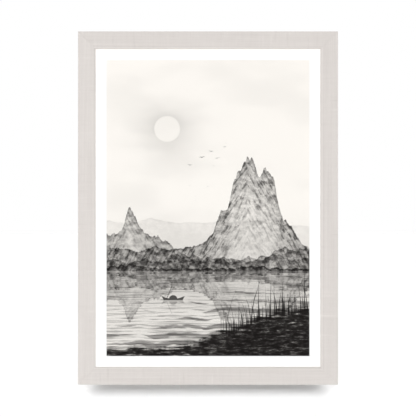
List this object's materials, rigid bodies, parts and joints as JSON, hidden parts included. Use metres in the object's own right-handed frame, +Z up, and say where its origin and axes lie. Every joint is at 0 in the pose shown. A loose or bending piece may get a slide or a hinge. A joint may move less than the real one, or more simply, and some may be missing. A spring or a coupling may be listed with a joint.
{
  "type": "framed art print",
  "caption": "Upright rectangular picture frame of mitred limed wood with a glazed paper print, hung flat on a wall by a toothed steel hanger.",
  "frame": {"origin": "middle notch of the sawtooth hanger, on the plane of the wall", "axes": "+Z up, +Y from the picture into the wall, +X to the picture's right as it is looked at"},
  "size_m": [0.343, 0.0248, 0.466],
  "materials": {
    "limed_wood": "white limed flat wood moulding, matt",
    "clear_glass": "clear float glass, polished",
    "cotton_paper": "matt cotton printing paper with a pigment print",
    "fibreboard": "bare fibreboard, smooth and dull",
    "zinc_plated_steel": "stamped sheet steel and wire, bright zinc plate",
    "bumper_rubber": "clear soft polyurethane"
  },
  "bodies": {
    "root": {"rail_top": "limed_wood", "rail_bottom": "limed_wood", "rail_left": "limed_wood", "rail_right": "limed_wood", "glazing": "clear_glass", "art_print": "cotton_paper", "backing_board": "fibreboard", "sawtooth_hanger": "zinc_plated_steel", "hanger_nail_left": "zinc_plated_steel", "hanger_nail_right": "zinc_plated_steel", "bumper_left": "bumper_rubber", "bumper_right": "bumper_rubber", "point_top_1": "zinc_plated_steel", "point_top_2": "zinc_plated_steel", "point_bottom_1": "zinc_plated_steel", "point_bottom_2": "zinc_plated_steel", "point_left_1": "zinc_plated_steel", "point_left_2": "zinc_plated_steel", "point_left_3": "zinc_plated_steel", "point_right_1": "zinc_plated_steel", "point_right_2": "zinc_plated_steel", "point_right_3": "zinc_plated_steel", "wedge_nail_top_left": "zinc_plated_steel", "wedge_nail_top_right": "zinc_plated_steel", "wedge_nail_bottom_left": "zinc_plated_steel", "wedge_nail_bottom_right": "zinc_plated_steel"}
  },
  "joints": []
}
